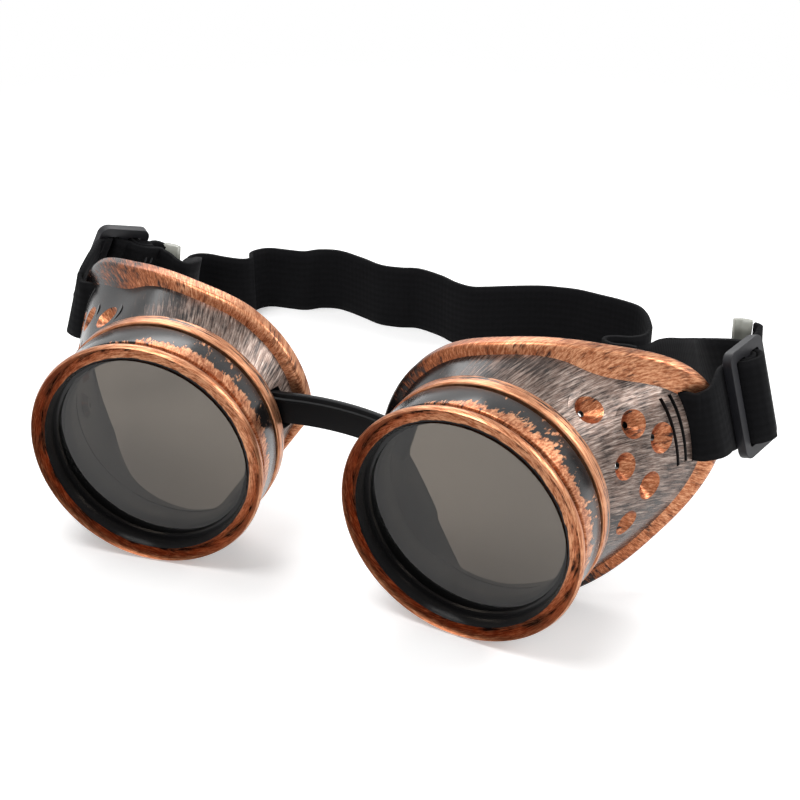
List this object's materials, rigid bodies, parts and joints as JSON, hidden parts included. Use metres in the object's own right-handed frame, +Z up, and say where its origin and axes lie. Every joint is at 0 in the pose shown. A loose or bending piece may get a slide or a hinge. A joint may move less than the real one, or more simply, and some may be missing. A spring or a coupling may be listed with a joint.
{
  "type": "steampunk goggles",
  "caption": "Round-lens goggles: brushed copper cups with vented side shields, screw-on lens rings, a rubber nose bridge and an elastic head strap with plastic sliders.",
  "frame": {"origin": "midway between the centres of the two lens rings, in the plane of their front beads", "axes": "+X to the wearer's left, -Y the way the goggles look, +Z up; the strap's lower edge and the rings' lowest points lie at z = -28.5 mm"},
  "size_m": [0.1937, 0.1459, 0.0604],
  "materials": {
    "copper_abs": "gloss black ABS dry-brushed with antique copper paint",
    "smoke_lens": "clear smoke-brown acrylic, polished",
    "gasket_rubber": "matt black moulded rubber",
    "bridge_rubber": "satin black moulded rubber",
    "elastic": "matt black woven elastic",
    "slider_plastic": "satin charcoal moulded plastic",
    "tip_film": "clear heat-sealed film over black elastic",
    "thread": "black polyester thread"
  },
  "bodies": {
    "frame": {"nose_bridge": "bridge_rubber", "head_strap": "elastic"},
    "left_cup": {"left_eye_cup": "copper_abs", "left_gasket": "gasket_rubber", "left_cup_strap": "elastic", "left_side_strap": "elastic"},
    "left_lens_carrier": {"left_lens": "smoke_lens"},
    "left_ring": {"left_screw_ring": "copper_abs"},
    "left_glide": {"left_slider": "slider_plastic", "left_strap_tip": "tip_film", "left_bar_tack": "thread"},
    "right_cup": {"right_eye_cup": "copper_abs", "right_gasket": "gasket_rubber", "right_cup_strap": "elastic", "right_side_strap": "elastic"},
    "right_lens_carrier": {"right_lens": "smoke_lens"},
    "right_ring": {"right_screw_ring": "copper_abs"},
    "right_glide": {"right_slider": "slider_plastic", "right_strap_tip": "tip_film", "right_bar_tack": "thread"}
  },
  "joints": [
    {"name": "left_cup_swing", "type": "hinge", "parent": "frame", "child": "left_cup", "pos_m": [0.0139, 0.0205, 0.0063], "axis": [0, 0, 1], "range_deg": [-5, 9], "stiffness_Nm_per_rad": 0.02, "deforming": ["left_side_strap", "head_strap"]},
    {"name": "left_lens_slide", "type": "slide", "parent": "left_cup", "child": "left_lens_carrier", "axis": [-0.1132, -0.9936, 0], "range_m": [0, 0.0053]},
    {"name": "left_ring_turn", "type": "hinge", "parent": "left_lens_carrier", "child": "left_ring", "pos_m": [0.0381, 0, 0], "axis": [-0.1132, -0.9936, 0], "range_deg": [0, 630]},
    {"name": "left_slider_slide", "type": "slide", "parent": "left_cup", "child": "left_glide", "axis": [0.3002, 0.9538, 0.014], "range_m": [-0.001, 0.003], "deforming": ["left_cup_strap", "left_side_strap"]},
    {"name": "right_cup_swing", "type": "hinge", "parent": "frame", "child": "right_cup", "pos_m": [-0.0139, 0.0205, 0.0063], "axis": [0, 0, -1], "range_deg": [-5, 9], "stiffness_Nm_per_rad": 0.02, "deforming": ["right_side_strap", "head_strap"]},
    {"name": "right_lens_slide", "type": "slide", "parent": "right_cup", "child": "right_lens_carrier", "axis": [0.1132, -0.9936, 0], "range_m": [0, 0.0053]},
    {"name": "right_ring_turn", "type": "hinge", "parent": "right_lens_carrier", "child": "right_ring", "pos_m": [-0.0381, 0, 0], "axis": [0.1132, -0.9936, 0], "range_deg": [0, 630]},
    {"name": "right_slider_slide", "type": "slide", "parent": "right_cup", "child": "right_glide", "axis": [0.48, 0.8239, -0.3014], "range_m": [-0.001, 0.003], "deforming": ["right_cup_strap", "right_side_strap"]}
  ],
  "couplings": [
    {"joint": "left_lens_slide", "follows": "left_ring_turn", "m_per_rad": 0.00047746},
    {"joint": "right_lens_slide", "follows": "right_ring_turn", "m_per_rad": 0.00047746}
  ]
}
